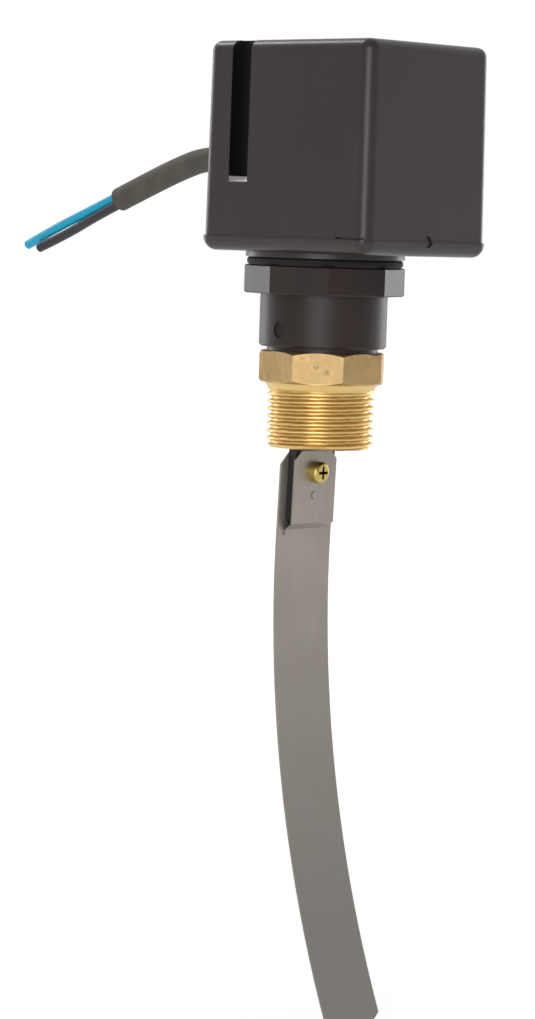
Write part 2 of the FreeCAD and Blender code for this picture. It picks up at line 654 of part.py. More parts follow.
def make_cover_seal():
    body = new_body("cover_seal")
    plan = sketch_on(body, "XY_Plane", f"{SEAM} - seal_depth")
    for offset in ("seal_width / 2", "-seal_width / 2"):
        rectangle(plan, f"box_length - wall + 2 * ({offset})", f"box_width - wall + 2 * ({offset})",
                  "box_shift")
    pad(body, plan, "seal_depth")


def make_cover():
    body = new_body("cover")
    plan = sketch_on(body, "XY_Plane", SEAM)
    pad(body, rectangle(plan, "box_length", "box_width", "box_shift"), "cover_height",
        draft="-cover_draft")
    low = level(SEAM)
    high = level(COVER_TOP)
    soften(body, "Fillet", "box_corner",
           lambda e: near(e.BoundBox.ZMin, low) and near(e.BoundBox.ZMax, high))
    soften(body, "Fillet", "cover_round", lambda e: flat_at(e, high))
    hollow = sketch_on(body, "XY_Plane", SEAM)
    pocket(body, rectangle(hollow, "box_length - 2 * wall", "box_width - 2 * wall", "box_shift"),
           "cover_height - roof", backward=True, draft="-cover_draft")
    for x, y, side in channel_places():
        column = sketch_on(body, "XY_Plane", SEAM)
        depth = "(channel_depth + channel_wall)"
        face = f"({y} - {side} * channel_axis)"
        inset = "(wall / 2)"
        rectangle(column, "channel_width + 2 * channel_wall", f"{depth} - {inset}", x,
                  f"{face} + {side} * ({depth} + {inset}) / 2")
        pad(body, column, "cover_height - roof / 2")
        groove = sketch_on(body, "XY_Plane", LEDGE)
        rectangle(groove, "channel_width", "channel_depth + overcut", x,
                  f"{face} + {side} * (channel_depth - overcut) / 2")
        pocket(body, groove, "cover_height", backward=True)
        seat = circle(sketch_on(body, "XY_Plane", LEDGE), "cover_head_radius + running_gap", x, y)
        pocket(body, seat, "cover_head_height")
        pocket(body, circle(sketch_on(body, "XY_Plane", LEDGE), "cover_screw_radius + running_gap", x, y),
               "channel_ledge + base_height")
        mouth = f"({face} - {side} * overcut)"
        slope = outline(sketch_on(body, "YZ_Plane", x),
                        [(mouth, LEDGE), (f"{face} + {side} * ledge_slope", LEDGE),
                         (mouth, f"{LEDGE} - ledge_slope - overcut")])
        pocket(body, slope, "channel_width", both_ways=True)
    cut_pip(body, BOX_FRONT)
    pry = sketch_on(body, "XY_Plane", SEAM)
    rectangle(pry, "pry_length + overcut", "pry_depth + overcut",
              f"{BOX_FRONT} - (pry_length - overcut) / 2", "(pry_depth - overcut - box_width) / 2")
    pocket(body, pry, "pry_height", backward=True)
    entry = sketch_on(body, "YZ_Plane", f"{BOX_BACK} - wall")
    pocket(body, circle(entry, "gland_thread_radius + running_gap", "0", "cable_level"), "wall * 3",
           backward=True)


def pan_screw(name, x, y, z, shank, length, head, height):
    """A screw that points down, z at the underside of its head."""
    parts = [cylinder(f"{name}_shank", shank, f"{length} + {height} / 2", x, y, f"{z} - ({length})"),
             cylinder(f"{name}_head", head, height, x, y, z)]
    return joined(name, "Part::MultiFuse", parts)


def make_box_screws():
    seat = f"({LEDGE} - cover_head_height)"
    reach = "channel_ledge - cover_head_height + cover_screw_bite"
    screws = [pan_screw(f"cover_screw_{k}", x, y, seat, "cover_screw_radius", reach,
                        "cover_head_radius", "cover_head_height")
              for k, (x, y, side) in enumerate(channel_places(), 1)]
    node(joined("cover_screws", "Part::Compound", screws), "cover_screws")
    screws = [pan_screw(f"frame_screw_{k}", x, y, FRAME_FLOOR, "frame_screw_radius",
                        "frame_screw_length", "frame_head_radius", "frame_head_height")
              for k, (x, y) in enumerate(frame_screw_places(), 1)]
    node(joined("frame_screws", "Part::Compound", screws), "frame_screws")


# ---------------------------------------------------------------- paddle, built at its pivot
def lap_holes(body):
    """Holes for the paddle screw and the dowel, through whatever the body has there."""
    for drop, radius in ((SCREW_DROP, "screw_radius"), (DOWEL_DROP, "dowel_radius")):
        pocket(body, circle(sketch_on(body, "YZ_Plane"), f"{radius} + press_gap", "0", f"0 - {drop}"),
               both_ways=True)


def make_paddle_arm():
    body = new_body("paddle_arm")
    blade = [("-arm_back", "0"), ("-arm_back", "-arm_reach"), ("-lap_face", "-arm_reach"),
             ("-lap_face", f"0 - {LAP}"), ("arm_front", f"0 - {LAP}"), ("arm_front", "0")]
    pad(body, outline(sketch_on(body, "XZ_Plane"), blade), "arm_width", both_ways=True)
    pad(body, circle(sketch_on(body, "XZ_Plane"), "hub_radius"), "hub_width", both_ways=True)
    pad(body, rectangle(sketch_on(body, "XY_Plane"), "stalk_length", "stalk_width"), "cup_floor + 1")
    pad(body, circle(sketch_on(body, "XY_Plane", "cup_floor"), "cup_radius"), "cup_height")
    pocket(body, circle(sketch_on(body, "XY_Plane", "cup_floor + cup_height"), "magnet_radius + press_gap"),
           "magnet_height")
    pocket(body, circle(sketch_on(body, "XZ_Plane"), "pin_radius + running_gap"), both_ways=True)
    lap_holes(body)
    end = -size("arm_reach")
    soften(body, "Fillet", "arm_width / 8", lambda e: flat_at(e, end) and along_flow(e))
    hang(body)


def hang(thing):
    """Hangs a piece of the paddle at the pivot, leaning against the flow."""
    return place(thing, z="pin_level", axis=(0, 1, 0), angle="rest_tilt")


def make_paddle_strip():
    body = doc.addObject("PartDesign::Body", "strip_blank")
    middle = "(arm_back + strip_thickness / 2 + strip_bend_radius)"
    for kind in ("straight", "bent"):
        section = sketch_on(body, "XY_Plane", f"0 - {STRIP_BEND}", "strip_bend_radius")
        rectangle(section, "strip_thickness", "strip_width", f"0 - {middle}")
        if kind == "straight":
            pad(body, section, f"{STRIP_BEND} - {STRIP_START}")
        else:
            turn_profile(body, section, angle="strip_bend_angle", backward=True)
    top = -level(STRIP_START)
    soften(body, "Chamfer", "strip_corner", lambda e: flat_at(e, top) and along_flow(e))
    lap_holes(body)
    upper = doc.addObject("Part::Box", "strip_upper_field")
    tie(upper, "Length", "strip_bend_radius")
    tie(upper, "Width", "2 * strip_tip_radius")
    tie(upper, "Height", "strip_tip_level")
    tie(upper, "Placement.Base.x", "-strip_bend_radius / 2")
    tie(upper, "Placement.Base.y", "-strip_tip_radius")
    tie(upper, "Placement.Base.z", "strip_tip_radius - strip_tip_level")
    lower = cylinder("strip_tip_field", "strip_tip_radius", "strip_bend_radius", "-strip_bend_radius / 2",
                     z="strip_tip_radius - strip_tip_level", axis=(1, 0, 0))
    field = joined("strip_field", "Part::MultiFuse", [upper, lower])
    strip = doc.addObject("Part::Common", "paddle_strip")
    strip.Base = body
    strip.Tool = field
    node(settle(strip), "paddle_strip")
    hang(strip)


def make_clamp_leaf():
    body = new_body("clamp_leaf")
    lapped = "(0 - lap_face)"
    landed = "(0 - arm_back)"
    top = f"(0 - {LEAF_START})"
    bend = "(lap_gap - arm_reach)"
    knee = f"({bend} - leaf_joggle)"
    end = f"({knee} - leaf_tail)"
    side = [(lapped, top), (f"{lapped} + leaf_thickness", top),
            (f"{lapped} + leaf_thickness", bend), (f"{landed} + leaf_thickness", knee),
            (f"{landed} + leaf_thickness", end), (landed, end),
            (landed, f"{knee} - leaf_thickness / 3"), (lapped, f"{bend} - leaf_thickness / 3")]
    pad(body, outline(sketch_on(body, "XZ_Plane"), side), "leaf_width", both_ways=True)
    ceiling = -level(LEAF_START)
    soften(body, "Chamfer", "leaf_corner", lambda e: flat_at(e, ceiling) and along_flow(e))
    lap_holes(body)
    hang(body)


def make_paddle_fasteners():
    face = "(leaf_thickness - lap_face)"
    back = "(0 - arm_back - strip_thickness)"
    body = new_body("paddle_screw")
    head = circle(sketch_on(body, "YZ_Plane", face), "screw_head_radius", "0", f"0 - {SCREW_DROP}")
    pad(body, head, "screw_head_height")
    tip = level(f"{face} + screw_head_height")
    soften(body, "Fillet", "screw_head_round", lambda e: near(e.BoundBox.XMin, tip))
    shank = circle(sketch_on(body, "YZ_Plane", face), "screw_radius", "0", f"0 - {SCREW_DROP}")
    pad(body, shank, f"{face} - {back} + nut_height + screw_tail", backward=True)
    for wide, high in (("2 * recess_reach", "recess_width"), ("recess_width", "2 * recess_reach")):
        slot = sketch_on(body, "YZ_Plane", f"{face} + screw_head_height")
        pocket(body, rectangle(slot, wide, high, "0", f"0 - {SCREW_DROP}"), "recess_depth")
    hang(body)
    body = new_body("paddle_nut")
    plan = circle(sketch_on(body, "YZ_Plane", back), "screw_radius + press_gap", "0", f"0 - {SCREW_DROP}")
    pad(body, polygon(plan, 6, "nut_flats", "90", "0", f"0 - {SCREW_DROP}"), "nut_height", backward=True)
    hang(body)
    body = new_body("paddle_dowel")
    end = sketch_on(body, "YZ_Plane", f"{face} + dowel_proud")
    pin = circle(end, "dowel_radius", "0", f"0 - {DOWEL_DROP}")
    pad(body, pin, f"{face} - {back} + 2 * dowel_proud", backward=True)
    hang(body)
    body = new_body("paddle_magnet")
    seat = sketch_on(body, "XY_Plane", "cup_floor + cup_height - magnet_height")
    pad(body, circle(seat, "magnet_radius"), "magnet_height")
    hang(body)


# ---------------------------------------------------------------- dry side: frame, lever, switch
def make_frame():
    body = new_body("mechanism_frame")
    foot = sketch_on(body, "XY_Plane", SEAM)
    half = "frame_half_width"
    outline(foot, [(FRAME_BACK, f"-{half}"), (FRAME_FRONT, f"-{half}"), (FRAME_FRONT, half),
                   (FRAME_BACK, half)])
    pad(body, foot, "frame_floor")
    hole = "(lock_flats / 2 + nut_clearance)"
    low = f"({SEAM} + frame_floor / 2)"
    leg = f"({SEAM} + arch_leg)"
    crown = f"({STUB_TOP} + arch_clearance)"
    waist = f"({STUB_TOP} + frame_waist)"
    ear = f"({waist} - frame_ear)"
    plate_front = "(case_front + case_height + frame_edge)"
    front = [(FRAME_BACK, low), (f"0 - {hole}", low), (f"0 - {hole}", leg), ("-arch_half_width", crown),
             ("arch_half_width", crown), (hole, leg), (hole, low), (FRAME_FRONT, low),
             (FRAME_FRONT, ear), (plate_front, waist), (plate_front, FRAME_TOP),
             (PLATE_BACK, FRAME_TOP), (PLATE_BACK, waist), (FRAME_BACK, ear)]
    wall = outline(sketch_on(body, "XZ_Plane", "0 - frame_wall_front"), front)
    pad(body, wall, "frame_wall", backward=True)
    lug = sketch_on(body, "XY_Plane", f"{LEVER} + lug_level")
    behind = "frame_wall_front + frame_wall / 2"
    outline(lug, [(PLATE_BACK, "-lug_half_width"), (f"{SPRING_X} + lug_half_width", "-lug_half_width"),
                  (f"{SPRING_X} + lug_half_width", behind), (PLATE_BACK, behind)])
    pad(body, lug, "lug_height")
    pocket(body, polygon(sketch_on(body, "XY_Plane", FRAME_FLOOR), 6, f"2 * {hole}", "90"), "frame_floor")
    thread = circle(sketch_on(body, "XY_Plane", f"{LEVER} + lug_level + lug_height"),
                    "range_screw_radius + running_gap", SPRING_X, "0")
    pocket(body, thread, "lug_height")
    for x, y in frame_screw_places():
        hole = circle(sketch_on(body, "XY_Plane", FRAME_FLOOR), "frame_screw_radius + running_gap", x, y)
        pocket(body, hole, "frame_floor")
    holes = [("0", LEVER, "lever_pin_radius")]
    holes += [("case_front + case_hole_inset", f"{CASE_MIDDLE} + {s} * case_hole_spacing / 2",
               "screw_radius") for s in (1, -1)]
    for x, z, radius in holes:
        pocket(body, circle(sketch_on(body, "XZ_Plane"), f"{radius} + press_gap", x, z), both_ways=True)


def make_lever_small_parts():
    back = "(frame_wall_front + frame_wall)"
    pin = cylinder("lever_pin_shank", "lever_pin_radius", f"{back} + lever_pin_tail", "0", back, LEVER,
                   axis=(0, -1, 0))
    head = cylinder("lever_pin_head", "lever_pin_head_radius", "lever_pin_head_height", "0",
                    f"{back} + lever_pin_head_height", LEVER, axis=(0, -1, 0))
    node(joined("lever_pin", "Part::MultiFuse", [pin, head]), "lever_pin")
    clip_face = "(0 - lever_hub_half_width - lever_side_gap)"
    clip = cylinder("clip_disc", "clip_radius", "clip_thickness", "0", clip_face, LEVER, axis=(0, -1, 0))
    bore = cylinder("clip_bore", "lever_pin_radius + press_gap", "clip_thickness", "0", clip_face, LEVER,
                    axis=(0, -1, 0))
    node(cut_from("pin_clip", clip, bore), "pin_clip")


def make_lever():
    body = new_body("magnet_lever")
    back = "(frame_wall_front - lever_side_gap)"
    hub = sketch_on(body, "XZ_Plane", f"0 - {back}")
    pad(body, circle(hub, "lever_hub_radius"), f"{back} + lever_hub_half_width")
    overlap = f"(0 - {LEVER_CUP_TOP} - lever_stem_thickness / 4)"
    stem = [("-lever_stem_thickness / 2", "0"), ("-lever_stem_thickness / 2", overlap),
            ("lever_stem_thickness / 2", overlap), ("lever_stem_thickness / 2", "0"),
            ("pad_shift + pad_radius * 0.8", "pad_drop"), ("pad_shift - pad_radius * 0.8", "pad_drop")]
    pad(body, outline(sketch_on(body, "XZ_Plane"), stem), "lever_stem_width", both_ways=True)
    reach = f"({SPRING_X} - spring_arm_end)"
    arm = [("0", "spring_arm_height / 2"), ("0", "-spring_arm_height / 2"),
           (reach, "-spring_arm_height / 4"), (reach, "spring_arm_height / 2")]
    pad(body, outline(sketch_on(body, "XZ_Plane"), arm), "lever_stem_width", both_ways=True)
    tip = circle(sketch_on(body, "XZ_Plane"), "pad_radius", "pad_shift", "pad_drop")
    pad(body, tip, "lever_stem_width", both_ways=True)
    cup = circle(sketch_on(body, "XY_Plane", f"0 - {LEVER_CUP_FOOT}"), "cup_radius")
    pad(body, cup, "lever_cup_height")
    pocket(body, circle(sketch_on(body, "XY_Plane", f"0 - {LEVER_CUP_FOOT}"), "magnet_radius + press_gap"),
           "magnet_height", backward=True)
    pocket(body, circle(sketch_on(body, "XZ_Plane"), "lever_pin_radius + running_gap"), both_ways=True)
    place(body, z=LEVER)
    body = new_body("lever_magnet")
    pad(body, circle(sketch_on(body, "XY_Plane", f"0 - {LEVER_CUP_FOOT}"), "magnet_radius"), "magnet_height")
    place(body, z=LEVER)


def make_range_screw():
    foot = f"({LEVER} + spring_arm_height / 2 + spring_length)"
    cup = cylinder("range_screw_cup", "range_cup_radius", "range_cup_height", SPRING_X, "0", foot)
    shank = cylinder("range_screw_shank", "range_screw_radius", "range_screw_height", SPRING_X, "0", foot)
    slot = doc.addObject("Part::Box", "range_screw_slot")
    tie(slot, "Length", "range_screw_radius * 3")
    tie(slot, "Width", "range_slot_width")
    tie(slot, "Height", "range_slot_depth * 2")
    tie(slot, "Placement.Base.x", f"{SPRING_X} - range_screw_radius * 1.5")
    tie(slot, "Placement.Base.y", "-range_slot_width / 2")
    tie(slot, "Placement.Base.z", f"{foot} + range_screw_height - range_slot_depth")
    blank = joined("range_screw_blank", "Part::MultiFuse", [cup, shank])
    node(cut_from("range_screw", blank, slot), "range_screw")


def make_spring():
    """A round-wire compression spring with its axis upright, swept along quarter turns."""
    rise = size("spring_length") - size("spring_wire")
    sweep = 2 * math.pi * size("spring_turns")
    radius = size("spring_radius")

    def on_helix(share):
        angle = sweep * share
        return Vector(radius * math.cos(angle), radius * math.sin(angle), rise * share)

    count = round(4 * size("spring_turns"))
    edges = [Part.Arc(on_helix(k / count), on_helix((k + 0.5) / count), on_helix((k + 1) / count)).toShape()
             for k in range(count)]
    heading = edges[0].tangentAt(edges[0].FirstParameter)
    section = Part.Wire(Part.Circle(on_helix(0), heading, size("spring_wire") / 2).toShape())
    made = doc.addObject("Part::Feature", "range_spring")
    made.Shape = Part.Wire(edges).makePipeShell([section], True, False)
    node(made, "range_spring")
    place(made, x=SPRING_X, z=f"{LEVER} + spring_arm_height / 2 + spring_wire / 2")


def make_switch():
    body = new_body("switch_case")
    middle = "(case_front + case_height / 2)"
    plan = rectangle(sketch_on(body, "XZ_Plane"), "case_height", "case_length", middle, CASE_MIDDLE)
    pad(body, plan, "case_thickness", both_ways=True)
    across = size("case_thickness")
    soften(body, "Fillet", "case_thickness / 12", lambda e: near(e.BoundBox.YLength, across))
    for s in (1, -1):
        hole = circle(sketch_on(body, "XZ_Plane"), "screw_radius + running_gap",
                      "case_front + case_hole_inset", f"{CASE_MIDDLE} + {s} * case_hole_spacing / 2")
        pocket(body, hole, both_ways=True)
    well = rectangle(sketch_on(body, "YZ_Plane", "case_front"), "button_width + 2 * running_gap",
                     "button_height + 2 * running_gap", "0", BUTTON)
    pocket(body, well, "button_well", backward=True)
    body = new_body("switch_button")
    start = f"({PAD_FACE} + button_gap)"
    pad(body, rectangle(sketch_on(body, "YZ_Plane", start), "button_width", "button_height", "0", BUTTON),
        "button_length")
    tabs = []
    for k in (-1, 0, 1):
        tab = doc.addObject("Part::Box", f"switch_tab_{k + 2}")
        tie(tab, "Length", "terminal_length")
        tie(tab, "Width", "terminal_thickness")
        tie(tab, "Height", "terminal_width")
        tie(tab, "Placement.Base.x", "case_front + case_height")
        tie(tab, "Placement.Base.y", "-terminal_thickness / 2")
        tie(tab, "Placement.Base.z", f"{CASE_MIDDLE} + {k} * terminal_spacing - terminal_width / 2")
        tabs.append(tab)
    node(joined("switch_terminals", "Part::Compound", tabs), "switch_terminals")
    screws = []
    for k, s in enumerate((1, -1), 1):
        x = "case_front + case_hole_inset"
        z = f"{CASE_MIDDLE} + {s} * case_hole_spacing / 2"
        face = "(0 - case_thickness / 2)"
        shank = cylinder(f"switch_shank_{k}", "screw_radius", "switch_screw_length", x, face, z,
                         axis=(0, 1, 0))
        head = cylinder(f"switch_head_{k}", "screw_head_radius", "switch_head_height", x,
                        f"{face} - switch_head_height", z, axis=(0, 1, 0))
        screws.append(joined(f"switch_screw_{k}", "Part::MultiFuse", [shank, head]))
    node(joined("switch_screws", "Part::Compound", screws), "switch_screws")


# ---------------------------------------------------------------- cable entry
def make_gland():
    seat = f"({BOX_BACK} - running_gap)"
    bore = "(cable_radius + gland_bore_gap)"
    body = new_body("gland_body")
    hexagon = sketch_on(body, "YZ_Plane", seat)
    pad(body, polygon(hexagon, 6, "gland_flats", "0", "0", "cable_level"), "gland_hex", backward=True)
    start = sketch_on(body, "YZ_Plane", f"{seat} - gland_hex")
    pad(body, circle(start, "gland_thread_radius", "0", "cable_level"), "gland_outside", backward=True)
    inside = circle(sketch_on(body, "YZ_Plane", seat), "gland_thread_radius", "0", "cable_level")
    pad(body, inside, "gland_inside")
    pocket(body, circle(sketch_on(body, "YZ_Plane"), bore, "0", "cable_level"), both_ways=True)
    body = new_body("gland_cap")
    cap_start = f"({seat} - gland_hex - gland_cap_gap)"
    pad(body, circle(sketch_on(body, "YZ_Plane", cap_start), "gland_cap_radius", "0", "cable_level"),
        "gland_cap_length", backward=True)
    mouth = level(f"{cap_start} - gland_cap_length")
    soften(body, "Fillet", "gland_cap_radius / 3", lambda e: near(e.BoundBox.XMax, mouth))
    socket = sketch_on(body, "YZ_Plane", cap_start)
    pocket(body, circle(socket, "gland_thread_radius + press_gap", "0", "cable_level"),
           "gland_outside + gland_seal_length - gland_cap_gap")
    pocket(body, circle(sketch_on(body, "YZ_Plane"), bore, "0", "cable_level"), both_ways=True)
    body = new_body("gland_seal")
    start = f"({seat} - gland_hex - gland_outside)"
    ring = sketch_on(body, "YZ_Plane", start)
    for radius in ("gland_thread_radius - running_gap", "cable_radius + press_gap"):
        circle(ring, radius, "0", "cable_level")
    pad(body, ring, "gland_seal_length", backward=True)
    body = new_body("gland_nut")
    inner = f"({BOX_BACK} + wall + gland_nut_gap)"
    plan = polygon(sketch_on(body, "YZ_Plane", inner), 6, "gland_nut_flats", "0", "0", "cable_level")
    pad(body, circle(plan, "gland_thread_radius + press_gap", "0", "cable_level"), "gland_nut_height")
    body = new_body("inner_sheath")
    reach = f"({cap_start} - gland_cap_length)"
    plan = circle(sketch_on(body, "YZ_Plane", reach), "cable_radius", "0", "cable_level")
    pad(body, plan, f"{BOX_BACK} + sheath_inside - {reach}")
    return mouth


def rounded_route(points, radius_share=0.45):
    """Straight runs joined by tangent arcs as large as the runs allow; gives edges and radii."""
    points = [Vector(*p) for p in points]
    edges, radii, last = [], [], points[0]
    for before, here, after in zip(points, points[1:], points[2:]):
        inward, outward = here - before, after - here
        half = inward.getAngle(outward) / 2
        setback = radius_share * min(inward.Length, outward.Length)
        radii.append(setback / math.tan(half))
        a = here - inward.normalize() * setback
        b = here + outward.normalize() * setback
        chord = (b - a).normalize()
        bow = (here - (a + b) / 2)
        depth = radii[-1] * (1 - math.cos(half))
        middle = (a + b) / 2 + bow.normalize() * depth
        edges.append(Part.LineSegment(last, a).toShape())
        edges.append(Part.Arc(a, middle, b).toShape())
        last = b
    edges.append(Part.LineSegment(last, points[-1]).toShape())
    return edges, radii


def make_cord(name, points, radius):
    edges, radii = rounded_route(points)
    path = Part.Wire(edges)
    heading = edges[0].tangentAt(edges[0].FirstParameter)
    section = Part.Wire(Part.Circle(Vector(*points[0]), heading, radius).toShape())
    made = doc.addObject("Part::Feature", name)
    made.Shape = path.makePipeShell([section], True, True)
    expected = math.pi * radius ** 2 * path.Length
    print(f"{name}: length {path.Length:.1f}, least radius {min(radii):.1f},"
          f" volume ratio {made.Shape.Volume / expected:.5f}")
    return node(made, name)


def make_cable(mouth):
    """The cable droops from the gland; its route is laid by hand, in millimetres."""
    axis = size("cable_level")
    sheath = [(mouth, 0.0, axis), (-41.6, 0.0, axis), (-51.0, 0.1, 53.4), (-61.9, 0.15, 49.4),
              (-72.6, -0.1, 45.1)]
    make_cord("cable_sheath", sheath, size("cable_radius"))
    blue = [(-73.06, 0.29, 46.21), (-83.26, 0.05, 42.11), (-96.0, -0.4, 37.2), (-108.0, 0.4, 32.4)]
    black = [(-72.15, -0.49, 43.98), (-80.87, -0.69, 40.48), (-91.6, -0.2, 35.8), (-102.4, -0.6, 31.7)]
    make_cord("blue_core", blue, size("core_radius"))
    make_cord("black_core", black, size("core_radius"))


make_brass_fitting()
make_neck_body()
make_neck_small_parts()
make_base()
make_cover_seal()
make_cover()
make_box_screws()
make_paddle_arm()
make_paddle_strip()
make_clamp_leaf()
make_paddle_fasteners()
make_frame()
make_lever_small_parts()
make_lever()
make_range_screw()
make_spring()
make_switch()
make_cable(make_gland())

doc.recompute()
for thing in doc.Objects:
    if {"Invalid", "Error"} & set(thing.State):
        raise RuntimeError(f"{thing.Name} is {thing.State}")
os.makedirs("parts", exist_ok=True)
for name, thing in nodes.items():
    shape = thing.Shape
    if shape.isNull() or not shape.isValid() or not shape.Solids:
        raise RuntimeError(f"{name} has no valid solid")
    shape.exportStep(f"parts/{name}.step")
print(len(nodes), "sub-parts written")
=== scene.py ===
import json
import math

import bmesh
import bpy
from mathutils import Matrix, Vector


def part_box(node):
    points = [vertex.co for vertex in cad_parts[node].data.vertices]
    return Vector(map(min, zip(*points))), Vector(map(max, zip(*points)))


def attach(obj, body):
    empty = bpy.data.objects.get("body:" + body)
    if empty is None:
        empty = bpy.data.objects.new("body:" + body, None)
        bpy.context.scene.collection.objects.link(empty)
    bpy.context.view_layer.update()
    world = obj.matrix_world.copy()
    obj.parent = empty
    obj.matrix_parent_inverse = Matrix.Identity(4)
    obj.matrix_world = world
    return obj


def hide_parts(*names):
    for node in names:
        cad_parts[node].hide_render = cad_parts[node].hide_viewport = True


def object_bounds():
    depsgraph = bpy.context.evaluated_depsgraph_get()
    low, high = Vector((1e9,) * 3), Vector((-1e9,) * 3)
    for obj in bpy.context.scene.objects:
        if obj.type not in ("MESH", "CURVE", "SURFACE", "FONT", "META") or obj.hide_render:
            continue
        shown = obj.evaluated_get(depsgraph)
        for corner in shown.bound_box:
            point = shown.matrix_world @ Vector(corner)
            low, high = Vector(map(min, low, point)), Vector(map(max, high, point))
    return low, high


MM = 0.001

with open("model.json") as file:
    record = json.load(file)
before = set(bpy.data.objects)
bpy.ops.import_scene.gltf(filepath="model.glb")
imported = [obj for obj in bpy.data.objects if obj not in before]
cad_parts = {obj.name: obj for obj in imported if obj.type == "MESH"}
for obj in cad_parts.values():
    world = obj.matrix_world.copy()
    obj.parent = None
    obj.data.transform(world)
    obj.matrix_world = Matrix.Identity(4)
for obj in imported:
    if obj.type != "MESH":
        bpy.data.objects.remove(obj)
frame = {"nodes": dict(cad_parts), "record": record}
cad_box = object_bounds()
nodes = frame["nodes"]


# ---------------------------------------------------------------- camera
# The camera stands to the right and in front, a little above the neck, and looks slightly down.
CAMERA_PLACE = Vector((0.5556, -0.6123, 0.0403))
AZIMUTH = math.radians(43.07)
PITCH = math.radians(4.89)
ROLL = math.radians(1.8)
LENS = 118.4
SENSOR = 36.0


def make_camera():
    """Places the camera and returns its right and its view direction, both before the roll."""
    right = Vector((math.cos(AZIMUTH), math.sin(AZIMUTH), 0))
    ahead = Vector((-math.sin(AZIMUTH), math.cos(AZIMUTH), 0)) * math.cos(PITCH)
    ahead.z = -math.sin(PITCH)
    up = right.cross(ahead)
    rolled_right = right * math.cos(ROLL) + up * math.sin(ROLL)
    rolled_up = up * math.cos(ROLL) - right * math.sin(ROLL)
    data = bpy.data.cameras.new("camera")
    data.sensor_fit = "VERTICAL"
    data.sensor_height = SENSOR
    data.lens = LENS
    data.clip_start = 0.01
    camera = bpy.data.objects.new("camera", data)
    turn = Matrix((rolled_right, rolled_up, -ahead)).transposed().to_4x4()
    camera.matrix_world = Matrix.Translation(CAMERA_PLACE) @ turn
    bpy.context.scene.collection.objects.link(camera)
    bpy.context.scene.camera = camera
    return right, ahead


view_right, view_ahead = make_camera()


# ---------------------------------------------------------------- node trees
class Nodes:
    """A small builder for the node tree of a material or a world."""

    def __init__(self, owner, output):
        owner.use_nodes = True
        self.tree = owner.node_tree
        self.tree.nodes.clear()
        self.surface = self.add(output).inputs["Surface"]

    def add(self, kind, **values):
        node = self.tree.nodes.new(kind)
        for name, value in values.items():
            setattr(node, name, value)
        return node

    def link(self, source, target):
        self.tree.links.new(source, target)

    def feed(self, target, value):
        """Links a socket, or sets a plain value."""
        if isinstance(value, bpy.types.NodeSocket):
            self.link(value, target)
        else:
            target.default_value = value

    def span(self, value, low, high, to_low=0.0, to_high=1.0, **settings):
        """Maps low..high to to_low..to_high and holds the ends."""
        node = self.add("ShaderNodeMapRange", **settings)
        self.link(value, node.inputs["Value"])
        node.inputs["From Min"].default_value = low
        node.inputs["From Max"].default_value = high
        node.inputs["To Min"].default_value = to_low
        node.inputs["To Max"].default_value = to_high
        return node.outputs[0]

    def math(self, operation, a, b=0.0):
        """One step of arithmetic on sockets or plain values."""
        node = self.add("ShaderNodeMath", operation=operation)
        self.feed(node.inputs[0], a)
        self.feed(node.inputs[1], b)
        return node.outputs[0]

    def product(self, first, *others):
        for other in others:
            first = self.math("MULTIPLY", first, other)
        return first

    def length(self, a, b):
        """The root of a squared plus b squared."""
        squares = self.math("ADD", self.math("MULTIPLY", a, a), self.math("MULTIPLY", b, b))
        return self.math("SQRT", squares)

    def mix(self, factor, a, b):
        """Colour a where the factor is 0 and colour b where it is 1."""
        node = self.add("ShaderNodeMix", data_type="RGBA")
        self.link(factor, node.inputs["Factor"])
        self.feed(node.inputs[6], a)
        self.feed(node.inputs[7], b)
        return node.outputs[2]

    def blend_to_surface(self, factor, a, b):
        """Shows shader a where the factor is 0 and shader b where it is 1."""
        node = self.add("ShaderNodeMixShader")
        self.link(factor, node.inputs["Fac"])
        self.link(a.outputs[0], node.inputs[1])
        self.link(b.outputs[0], node.inputs[2])
        self.link(node.outputs[0], self.surface)

    def white_where_seen(self, rays):
        """1 for rays from the camera, from gloss and through glass, and 0 for the rest."""
        factor = rays["Is Camera Ray"]
        for name in ("Is Glossy Ray", "Is Transmission Ray"):
            factor = self.math("MAXIMUM", factor, rays[name])
        return factor


